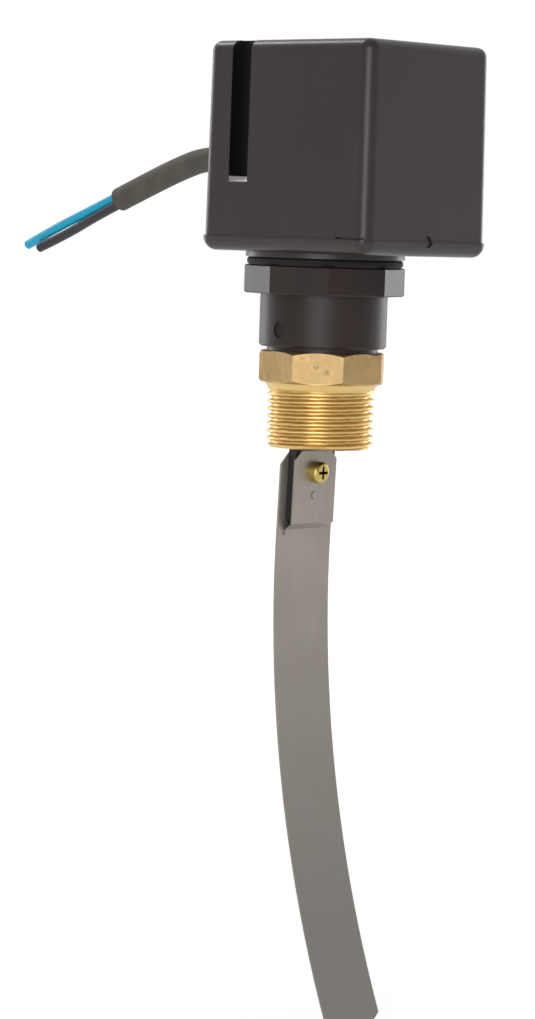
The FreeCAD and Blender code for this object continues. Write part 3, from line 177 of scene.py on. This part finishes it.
class Finish(Nodes):
    """A material with one shader and textures laid out in the part's own frame, in metres."""

    def __init__(self, name):
        self.material = bpy.data.materials.new(name)
        super().__init__(self.material, "ShaderNodeOutputMaterial")
        self.shader = self.add("ShaderNodeBsdfPrincipled")
        self.link(self.shader.outputs[0], self.surface)
        self.coordinates = self.add("ShaderNodeTexCoord").outputs["Object"]

    def mapped(self, scale):
        node = self.add("ShaderNodeMapping")
        self.link(self.coordinates, node.inputs["Vector"])
        node.inputs["Scale"].default_value = scale
        return node.outputs[0]

    def noise(self, scale, detail=3.0, stretch=(1, 1, 1), rough=0.5):
        node = self.add("ShaderNodeTexNoise")
        self.link(self.mapped(stretch), node.inputs["Vector"])
        node.inputs["Scale"].default_value = scale
        node.inputs["Detail"].default_value = detail
        node.inputs["Roughness"].default_value = rough
        return node.outputs[0]

    def cells(self, scale):
        node = self.add("ShaderNodeTexVoronoi")
        self.link(self.coordinates, node.inputs["Vector"])
        node.inputs["Scale"].default_value = scale
        return node.outputs["Distance"]

    def bump(self, height, distance, under=None):
        node = self.add("ShaderNodeBump")
        node.inputs["Distance"].default_value = distance
        self.link(height, node.inputs["Height"])
        if under:
            self.link(under, node.inputs["Normal"])
        return node.outputs[0]

    def axis(self, index):
        """The place along X, Y or Z."""
        node = self.add("ShaderNodeSeparateXYZ")
        self.link(self.coordinates, node.inputs[0])
        return node.outputs[index]

    def finish(self, colour, rough, normal, metallic=0.0, **plain):
        """Links what varies to the shader, and sets its constants."""
        inputs = self.shader.inputs
        self.link(colour, inputs["Base Color"])
        self.link(rough, inputs["Roughness"])
        self.link(normal, inputs["Normal"])
        inputs["Metallic"].default_value = metallic
        for name, value in plain.items():
            inputs[name.replace("_", " ")].default_value = value
        return self.material


# ---------------------------------------------------------------- materials
def rgb(red, green, blue):
    """A colour as it shows on a screen, 0 to 255, in linear light."""
    def linear(value):
        value /= 255
        return value / 12.92 if value <= 0.04045 else ((value + 0.055) / 1.055) ** 2.4
    return (linear(red), linear(green), linear(blue), 1.0)


def shade(colour, factor):
    return (colour[0] * factor, colour[1] * factor, colour[2] * factor, 1.0)


def varied(n, clouds, colour, spread):
    """The colour, darker and lighter by that share from cloud to cloud."""
    return n.mix(n.span(clouds, 0.3, 0.7), shade(colour, 1 - spread), shade(colour, 1 + spread))


def moulded(n, colour, rough, spread, grain, grain_depth, flow, shadow=None):
    """Tone, gloss and relief of moulded plastic: fine grain, soft flow marks and handling smudges."""
    tone = varied(n, n.noise(flow, 4.0, (1, 1, 0.45)), colour, spread)
    if shadow:
        # painted shadow: where the mask is 1 the tone goes to a dark shade of the colour
        tone = n.mix(shadow, tone, shade(colour, 0.15))
    smudge = n.noise(flow * 3.1, 2.0, (1, 1, 0.6))
    gloss = n.span(smudge, 0.3, 0.7, rough - 0.01, rough + 0.02)
    return tone, gloss, n.bump(n.noise(grain, 2.0), grain_depth * MM)


def plastic(name, colour, rough, spread, grain, grain_depth, flow, specular=0.45):
    """Plain moulded plastic in one colour."""
    n = Finish(name)
    tone, gloss, relief = moulded(n, colour, rough, spread, grain, grain_depth, flow)
    return n.finish(tone, gloss, relief, Specular_IOR_Level=specular)


# The screw channels, along the box from its middle, and in and up from the cover's faces.
CHANNEL_NEAR, CHANNEL_FAR = 11.8 * MM, 18.2 * MM
CHANNEL_BACK, CHANNEL_MOUTH = 5.0 * MM, 0.2 * MM
LEDGE_FOOT, LEDGE_TOP = 12.7 * MM, 14.45 * MM


def box_plastic(name, colour):
    """The box's plastic, with painted shade in the two screw channels and a painted highlight on their
    ledges.
    """
    n = Finish(name)
    low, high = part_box("cover")
    side = n.math("SIGN", n.axis(1))
    along = n.product(n.math("SUBTRACT", n.axis(0), (low.x + high.x) / 2), side)
    depth = n.math("ABSOLUTE", n.axis(1))
    channel = n.product(n.math("LESS_THAN", depth, high.y - CHANNEL_MOUTH),
                        n.math("GREATER_THAN", depth, high.y - CHANNEL_BACK),
                        n.math("GREATER_THAN", along, CHANNEL_NEAR),
                        n.math("LESS_THAN", along, CHANNEL_FAR),
                        n.math("GREATER_THAN", n.axis(2), low.z + LEDGE_FOOT))
    above = n.math("GREATER_THAN", n.axis(2), low.z + LEDGE_TOP)
    # painted shadow inside the channels, deepest on their far sides
    shadow = n.product(channel, above, n.span(along, CHANNEL_NEAR + 0.2 * MM, CHANNEL_FAR - 1.2 * MM))
    ledge = n.product(channel, n.math("SUBTRACT", 1.0, above))
    # painted highlight: a pale glint on the channels' ledges, fading along them
    dust_and_glint = n.product(ledge, n.span(along, CHANNEL_NEAR, CHANNEL_NEAR + 1.6 * MM, 1.0, 0.6))
    tone, gloss, relief = moulded(n, colour, 0.34, 0.12, 5200, 0.006, 60, shadow)
    return n.finish(n.mix(dust_and_glint, tone, rgb(214, 207, 207)), gloss, relief, Specular_IOR_Level=0.45)


def rubber(name, colour, rough, grain, spread, dust_scale):
    """Matt rubber with a fine grain and dust that lightens it in patches."""
    n = Finish(name)
    dust_and_glint = n.noise(dust_scale, 5.0)
    tone = n.mix(n.span(dust_and_glint, 0.35, 0.75), shade(colour, 1 - spread), shade(colour, 1 + 2 * spread))
    gloss = n.span(dust_and_glint, 0.3, 0.7, rough - 0.06, rough + 0.06)
    return n.finish(tone, gloss, n.bump(n.noise(grain, 3.0), 0.012 * MM), Specular_IOR_Level=0.35)


def brushed(name, colour, rough, stretch):
    """Metal with fine lines along the direction that stretch squeezes."""
    n = Finish(name)
    lines = n.noise(2400, 4.0, stretch, 0.6)
    clouds = n.noise(70, 4.0)
    tone = n.mix(n.span(lines, 0.35, 0.65, 0.0, 0.35), varied(n, clouds, colour, 0.12), shade(colour, 0.72))
    line_gloss = n.span(lines, 0.3, 0.7, rough - 0.06, rough + 0.06)
    gloss = n.math("ADD", line_gloss, n.span(clouds, 0.3, 0.7, -0.03, 0.05))
    return n.finish(tone, gloss, n.bump(lines, 0.01 * MM), 1.0)


def rolled_steel(name):
    """Satin strip with faint lines along its length, and painted shade that darkens it towards its tip."""
    n = Finish(name)
    lines = n.noise(1500, 3.0, (1, 1, 0.02), 0.55)
    clouds = n.noise(60, 4.0)
    # painted shade: lighter at the top, darker towards the tip
    lighter_towards_top = n.span(n.axis(2), -130 * MM, -20 * MM)
    tone = n.mix(lighter_towards_top, rgb(142, 138, 133), rgb(170, 163, 154))
    tone = n.mix(n.span(clouds, 0.3, 0.7, 0.0, 0.25), tone, rgb(150, 140, 130))
    tone = n.mix(n.span(lines, 0.35, 0.65, 0.0, 0.14), tone, rgb(120, 116, 112))
    return n.finish(tone, n.span(clouds, 0.3, 0.7, 0.44, 0.52), n.bump(lines, 0.004 * MM), 0.75)


def cast_and_turned_brass(name):
    """Octagon with its forged, pitted skin above, turned thread below with painted shade in its valleys."""
    n = Finish(name)
    radius = n.length(n.axis(0), n.axis(1))
    forged = n.span(n.axis(2), 1.1 * MM, 1.9 * MM)
    turned = n.math("SUBTRACT", 1.0, forged)
    clouds = n.noise(160, 4.0)
    # the skin of the octagon, worn bright in spots
    colour = rgb(186, 157, 110)
    skin = n.mix(n.span(clouds, 0.3, 0.7), shade(colour, 0.84), shade(colour, 1.08))
    skin = n.mix(n.span(n.noise(380, 3.0), 0.5, 0.62, 0.0, 0.3), skin, shade(colour, 1.35))
    pits = n.product(n.span(n.noise(420, 5.0, rough=0.62), 0.56, 0.66),
                     n.span(n.cells(300), 0.1, 0.5, 1.0, 0.0), forged)
    # the tool's marks on the shank, and painted shade in the thread's valleys, which the bore inside is
    # kept out of
    marks = n.noise(1500, 3.0, (0.02, 0.02, 3.0))
    golden = n.mix(n.span(marks, 0.3, 0.7, 0.0, 0.3), rgb(230, 200, 134), rgb(190, 158, 100))
    # painted shade in the thread's valleys, deepest at the root
    valley_shade = n.product(n.span(radius, 12.1 * MM, 13.0 * MM, 0.2, 0.0), turned,
                       n.span(radius, 10.9 * MM, 11.9 * MM))
    tone = n.mix(valley_shade, n.mix(turned, skin, golden), rgb(150, 114, 60))
    tone = n.mix(n.product(pits, 0.35), tone, rgb(132, 104, 62))
    gloss = n.math("ADD", n.span(forged, 0.0, 1.0, 0.34, 0.48), n.span(clouds, 0.3, 0.7, -0.04, 0.06))
    relief = n.bump(n.product(n.noise(900, 5.0, rough=0.6), forged), 0.06 * MM)
    relief = n.bump(n.product(marks, turned), 0.008 * MM, relief)
    relief = n.bump(n.math("SUBTRACT", 1.0, pits), 0.12 * MM, relief)
    return n.finish(tone, gloss, relief, 0.92)


def plain_brass(name, colour, rough, painted_shade=None):
    """Turned or drawn metal with faint clouds; the optional mask paints shade into it."""
    n = Finish(name)
    clouds = n.noise(900, 4.0)
    tone = n.mix(n.span(clouds, 0.35, 0.7), shade(colour, 0.78), shade(colour, 1.05))
    if painted_shade:
        # painted shade: the mask darkens the tone to a deep brown
        tone = n.mix(painted_shade(n), tone, rgb(70, 50, 18))
    gloss = n.span(clouds, 0.3, 0.7, rough - 0.05, rough + 0.1)
    return n.finish(tone, gloss, n.bump(n.noise(3000, 3.0), 0.004 * MM), 0.9)


def recess_shade(n):
    """1 inside the cross recess of the paddle's screw, where shade is painted."""
    low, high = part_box("paddle_screw")
    far = n.length(n.math("SUBTRACT", n.axis(1), (low.y + high.y) / 2),
                   n.math("SUBTRACT", n.axis(2), (low.z + high.z) / 2))
    return n.product(n.math("LESS_THAN", n.axis(0), high.x - 0.15 * MM),
                     n.math("GREATER_THAN", n.axis(0), high.x - 1.5 * MM),
                     n.math("LESS_THAN", far, 1.8 * MM))


MATERIALS = {
    "satin_brass": cast_and_turned_brass("satin_brass"),
    "bright_brass": plain_brass("bright_brass", rgb(206, 182, 104), 0.3, recess_shade),
    "neck_nylon": plastic("neck_nylon", rgb(36, 23, 21), 0.4, 0.3, 4200, 0.01, 120, 0.38),
    "housing_plastic": box_plastic("housing_plastic", rgb(47, 39, 39)),
    "black_rubber": rubber("black_rubber", rgb(26, 24, 24), 0.75, 2600, 0.2, 420),
    "sheath_grey": rubber("sheath_grey", rgb(80, 77, 69), 0.62, 4200, 0.16, 260),
    "core_blue": plastic("core_blue", rgb(4, 166, 203), 0.4, 0.06, 5200, 0.004, 200),
    "core_black": plastic("core_black", rgb(38, 35, 44), 0.4, 0.15, 5200, 0.004, 200),
    "spring_steel": rolled_steel("spring_steel"),
    "arm_nylon": plastic("arm_nylon", rgb(30, 28, 28), 0.48, 0.2, 4600, 0.01, 150),
    "magnet": brushed("magnet", rgb(150, 150, 152), 0.3, (1, 1, 1)),
    "zinc_steel": brushed("zinc_steel", rgb(176, 180, 186), 0.36, (1, 1, 0.2)),
    "dark_steel": brushed("dark_steel", rgb(62, 56, 54), 0.5, (1, 1, 1)),
    "switch_black": plastic("switch_black", rgb(34, 34, 38), 0.5, 0.2, 3600, 0.01, 200),
    "button_red": plastic("button_red", rgb(170, 38, 30), 0.4, 0.1, 3600, 0.006, 300),
    "terminal_brass": plain_brass("terminal_brass", rgb(206, 200, 180), 0.28),
    "copper": plain_brass("copper", rgb(198, 118, 78), 0.3),
}

for part in frame["record"]["subparts"]:
    mesh = nodes[part["node"]].data
    mesh.materials.clear()
    mesh.materials.append(MATERIALS[part["material_slot"]])


# ---------------------------------------------------------------- helpers for new pieces
def new_piece(name, mesh, body, slot, replaced=()):
    """Links a mesh as a piece that rides on a body; copper is no slot of the part's own."""
    mesh.materials.append(MATERIALS[slot])
    piece = bpy.data.objects.new(name, mesh)
    bpy.context.scene.collection.objects.link(piece)
    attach(piece, body)
    if replaced:
        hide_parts(*replaced)
    return piece


def soften_by_angle(mesh, degrees):
    """Smooth shading with sharp edges where the surface turns by more than that."""
    shape = bmesh.new()
    shape.from_mesh(mesh)
    for face in shape.faces:
        face.smooth = True
    for edge in shape.edges:
        if len(edge.link_faces) == 2:
            edge.smooth = edge.calc_face_angle(0) < math.radians(degrees)
    shape.to_mesh(mesh)
    shape.free()


def skin_mesh(name, rings):
    """An open skin over closed rings of points."""
    count = len(rings[0])
    shape = bmesh.new()
    rows = [[shape.verts.new(p) for p in ring] for ring in rings]
    for low, high in zip(rows, rows[1:]):
        for k in range(count):
            shape.faces.new((low[k], low[(k + 1) % count], high[(k + 1) % count], high[k]))
    mesh = bpy.data.meshes.new(name)
    shape.to_mesh(mesh)
    shape.free()
    return mesh


def ramp(value, start, length):
    """0 up to start, 1 from start + length, straight between them."""
    return min(1.0, max(0.0, (value - start) / length))


def turns(count):
    """Equal steps of angle round a circle."""
    return [2 * math.pi * k / count for k in range(count)]


# ---------------------------------------------------------------- thread on the brass shank
THREAD_TOP = 0.0
THREAD_FOOT = -14.6 * MM
CREST = 13.22 * MM
PITCH_LENGTH = 25.4 / 14 * MM
THREAD_DEPTH = 1.16 * MM
RUN_OUT = 1.5 * MM
LEAD_IN = 0.9 * MM
AROUND = 144
PER_PITCH = 16
# The worn flanks run from crest (0) to root (1), part rounded and part straight.
ROUNDED_FROM, ROUNDED_OVER, ROUNDED_SHARE = 0.16, 0.68, 0.55
STRAIGHT_FROM, STRAIGHT_OVER = 0.26, 0.5


def thread_radius(angle, height):
    """Worn 55 degree profile on a right-hand helix, fading out under the shoulder."""
    phase = (height / PITCH_LENGTH - angle / (2 * math.pi)) % 1.0
    flank = abs(2 * phase - 1)
    rounded = 0.5 - 0.5 * math.cos(math.pi * ramp(flank, ROUNDED_FROM, ROUNDED_OVER))
    straight = ramp(flank, STRAIGHT_FROM, STRAIGHT_OVER)
    depth = THREAD_DEPTH * (ROUNDED_SHARE * rounded + (1 - ROUNDED_SHARE) * straight)
    lead = CREST - LEAD_IN * (1 - ramp(height, THREAD_FOOT, LEAD_IN))
    return min(CREST - depth * ramp(THREAD_TOP - height, 0.0, RUN_OUT), lead)


def thread_rings():
    steps = int((THREAD_TOP - THREAD_FOOT) / PITCH_LENGTH * PER_PITCH)
    rings = []
    for row in range(steps + 1):
        height = THREAD_FOOT + (THREAD_TOP - THREAD_FOOT) * row / steps
        ring = []
        for angle in turns(AROUND):
            radius = thread_radius(angle, height)
            ring.append(Vector((radius * math.cos(angle), radius * math.sin(angle), height)))
        rings.append(ring)
    return rings


def make_threaded_brass():
    """The CAD fitting's own mesh with its ringed shank taken off and a helical thread put on."""
    root = CREST - THREAD_DEPTH
    shape = bmesh.new()
    shape.from_mesh(nodes["brass_fitting"].data)
    bmesh.ops.remove_doubles(shape, verts=shape.verts, dist=0.001 * MM)
    ringed = []
    for face in shape.faces:
        outer = all(math.hypot(v.co.x, v.co.y) > root - 0.05 * MM for v in face.verts)
        shank = all(v.co.z < THREAD_TOP + 0.01 * MM for v in face.verts)
        end_face = all(v.co.z < THREAD_FOOT + 0.01 * MM for v in face.verts)
        if outer and shank and not end_face:
            ringed.append(face)
    bmesh.ops.delete(shape, geom=ringed, context="FACES")
    body = bpy.data.meshes.new("brass_body")
    shape.to_mesh(body)
    shape.free()
    joined = bmesh.new()
    joined.from_mesh(body)
    joined.from_mesh(skin_mesh("brass_thread_skin", thread_rings()))
    mesh = bpy.data.meshes.new("threaded_brass")
    joined.to_mesh(mesh)
    joined.free()
    soften_by_angle(mesh, 40)
    new_piece("threaded_brass", mesh, "housing", "satin_brass", ["brass_fitting"])


make_threaded_brass()


# ---------------------------------------------------------------- cable
SHEATH_ROUTE = [(-0.03325, 0.0, 0.0561), (-0.0416, 0.0, 0.0561), (-0.0510, 0.0001, 0.0534),
                (-0.0619, 0.00015, 0.0494), (-0.0726, -0.0001, 0.0451)]
BLUE_ROUTE = [(-0.07306, 0.00029, 0.04621), (-0.08326, 0.00005, 0.04211), (-0.0960, -0.0004, 0.0372),
              (-0.1080, 0.0004, 0.0324)]
BLACK_ROUTE = [(-0.07215, -0.00049, 0.04398), (-0.08087, -0.00069, 0.04048), (-0.0916, -0.0002, 0.0358),
               (-0.1024, -0.0006, 0.0317)]
# Strands in each core, as rings of (count, radius in mm) round the middle one.
STRAND_RINGS = ((1, 0.0), (6, 0.2), (12, 0.4))
STRAND_RADIUS = 0.105 * MM


def route_curve(name, points, radius):
    """A NURBS tube with those points as its control points."""
    data = bpy.data.curves.new(name, "CURVE")
    data.dimensions = "3D"
    data.resolution_u = 24
    spline = data.splines.new("NURBS")
    spline.points.add(len(points) - 1)
    for point, place in zip(spline.points, points):
        point.co = (*place, 1.0)
    spline.order_u = 3
    spline.use_endpoint_u = True
    data.bevel_depth = radius
    data.bevel_resolution = 8
    data.use_fill_caps = True
    return data


def make_strands(name, end, ahead):
    """The cut ends of the copper strands, flush with the insulation."""
    across = ahead.cross(Vector((0, 0, 1))).normalized()
    over = ahead.cross(across)
    turn = Matrix((across, over, ahead)).transposed().to_4x4() @ Matrix.Diagonal((1, 1, 0.5, 1))
    shape = bmesh.new()
    for count, radius in STRAND_RINGS:
        for angle in turns(count):
            offset = (across * math.cos(angle) + over * math.sin(angle)) * radius * MM
            place = Matrix.Translation(end + offset + ahead * 0.02 * MM) @ turn
            bmesh.ops.create_uvsphere(shape, u_segments=8, v_segments=6, radius=STRAND_RADIUS, matrix=place)
    mesh = bpy.data.meshes.new(name)
    shape.to_mesh(mesh)
    shape.free()
    soften_by_angle(mesh, 60)
    return new_piece(name, mesh, "housing", "copper")


def make_cord(name, node, route, diameter, slot, strands=False):
    """A curve that keeps the CAD cord's route and takes its place."""
    data = route_curve(name, route, diameter / 2)
    data.materials.append(MATERIALS[slot])
    cord = bpy.data.objects.new(name, data)
    bpy.context.scene.collection.objects.link(cord)
    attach(cord, "housing")
    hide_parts(node)
    ends = []
    if strands:
        end, before = Vector(route[-1]), Vector(route[-2])
        ends = [make_strands(name + "_strands", end, (end - before).normalized())]


make_cord("sheath", "cable_sheath", SHEATH_ROUTE, 0.0062, "sheath_grey")
make_cord("blue_wire", "blue_core", BLUE_ROUTE, 0.0024, "core_blue", strands=True)
make_cord("black_wire", "black_core", BLACK_ROUTE, 0.0024, "core_black", strands=True)


# ---------------------------------------------------------------- gland cap with grip flutes
# The cap's half section in mm: distance from its outer end, and radius.
CAP_PROFILE = [(0.0, 3.27), (0.0, 4.1), (0.25, 5.0), (1.0, 5.9), (1.9, 6.35), (2.4, 6.55), (4.0, 6.6),
               (6.5, 6.6), (7.6, 6.55), (8.3, 6.4), (8.8, 6.1), (8.8, 5.2)]
CAP_AROUND = 160
FLUTES = 20
FLUTE_DEPTH = 0.42
FLUTE_START, FLUTE_RUN_IN = 1.6, 1.2
FLUTE_END, FLUTE_RUN_OUT = 8.2, 0.5


def make_gland_cap():
    """The cap's half section turned about the cable, with flutes for the fingers."""
    low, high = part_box("gland_cap")
    centre = (low.z + high.z) / 2
    rings = []
    for along, radius in CAP_PROFILE:
        x = low.x + (high.x - low.x) * along / CAP_PROFILE[-1][0]
        fade = ramp(along, FLUTE_START, FLUTE_RUN_IN) * ramp(FLUTE_END - along, 0.0, FLUTE_RUN_OUT)
        ring = []
        for angle in turns(CAP_AROUND):
            groove = FLUTE_DEPTH * max(0.0, math.cos(FLUTES * angle)) ** 2
            r = (radius - fade * groove) * MM
            ring.append(Vector((x, r * math.cos(angle), centre + r * math.sin(angle))))
        rings.append(ring)
    mesh = skin_mesh("gland_cap_fluted", rings)
    soften_by_angle(mesh, 45)
    new_piece("gland_cap_fluted", mesh, "housing", "neck_nylon", ["gland_cap"])


make_gland_cap()


# ---------------------------------------------------------------- stage and light
FLAT_AHEAD = Vector((view_ahead.x, view_ahead.y, 0)).normalized()
FLOOR_GAP = 0.4 * MM
FLOOR_HALF = 3.0
FLOOR_TONE = 0.9
FLOOR_WHITE = 1.15
SOFT_LIGHT = 0.5
SIDE_LIGHT = 0.47
LAMPS_AIM = Vector((0, 0, 0.02))


def make_stage():
    """A pale floor that takes the part's shadow and turns into plain white away from it."""
    height = cad_box[0][2] - FLOOR_GAP
    corners = [(x * FLOOR_HALF, y * FLOOR_HALF, height) for x, y in ((-1, -1), (1, -1), (1, 1), (-1, 1))]
    mesh = bpy.data.meshes.new("floor")
    mesh.from_pydata(corners, [], [(0, 1, 2, 3)])
    floor = bpy.data.objects.new("floor", mesh)
    bpy.context.scene.collection.objects.link(floor)
    material = bpy.data.materials.new("pale_floor")
    n = Nodes(material, "ShaderNodeOutputMaterial")
    matt = n.add("ShaderNodeBsdfDiffuse")
    matt.inputs["Color"].default_value = (FLOOR_TONE, FLOOR_TONE, FLOOR_TONE, 1)
    white = n.add("ShaderNodeEmission")
    white.inputs["Strength"].default_value = FLOOR_WHITE
    far = n.add("ShaderNodeVectorMath", operation="LENGTH")
    n.link(n.add("ShaderNodeTexCoord").outputs["Object"], far.inputs[0])
    share = n.span(far.outputs["Value"], 0.25, 0.8, 0.7, 0.95)
    seen = n.white_where_seen(n.add("ShaderNodeLightPath").outputs)
    n.blend_to_surface(n.product(seen, share), matt, white)
    mesh.materials.append(material)


def make_world():
    """Soft light from all round; gloss sees a white backdrop behind the part and a dimmer room in front."""
    world = bpy.data.worlds.new("studio")
    bpy.context.scene.world = world
    n = Nodes(world, "ShaderNodeOutputWorld")
    along = n.add("ShaderNodeVectorMath", operation="DOT_PRODUCT")
    along.inputs[1].default_value = FLAT_AHEAD
    n.link(n.add("ShaderNodeTexCoord").outputs["Generated"], along.inputs[0])
    room = n.span(along.outputs["Value"], -0.3, 0.6, SIDE_LIGHT, 1.0, interpolation_type="SMOOTHSTEP")
    rays = n.add("ShaderNodeLightPath").outputs
    soft, shown = n.add("ShaderNodeBackground"), n.add("ShaderNodeBackground")
    for background in (soft, shown):
        background.inputs["Color"].default_value = (1, 1, 1, 1)
    soft.inputs["Strength"].default_value = SOFT_LIGHT
    n.link(n.math("MAXIMUM", room, rays["Is Camera Ray"]), shown.inputs["Strength"])
    n.blend_to_surface(n.white_where_seen(rays), soft, shown)


def lamp(name, aside, ahead, up, width, height, radiance):
    """A soft box placed by the camera's view: aside to the right, ahead away from it, and up."""
    data = bpy.data.lights.new(name, "AREA")
    data.shape = "RECTANGLE"
    data.size = width
    data.size_y = height
    data.energy = radiance * math.pi * width * height
    light = bpy.data.objects.new(name, data)
    offset = view_right * aside + FLAT_AHEAD * ahead + Vector((0, 0, up))
    light.location = LAMPS_AIM + offset
    light.rotation_euler = (-offset).to_track_quat("-Z", "Y").to_euler()
    bpy.context.scene.collection.objects.link(light)


make_stage()
make_world()
lamp("front", -0.16, -1.0, 0.12, 0.6, 0.55, 3.2)
lamp("left_behind", -0.74, 0.67, 0.1, 0.26, 0.5, 3.4)
lamp("right_behind", 0.67, 0.74, 0.1, 0.28, 0.5, 3.2)
lamp("top_left", -0.64, 0.5, 0.88, 0.24, 0.24, 14.0)
bpy.context.scene.view_settings.view_transform = "Standard"
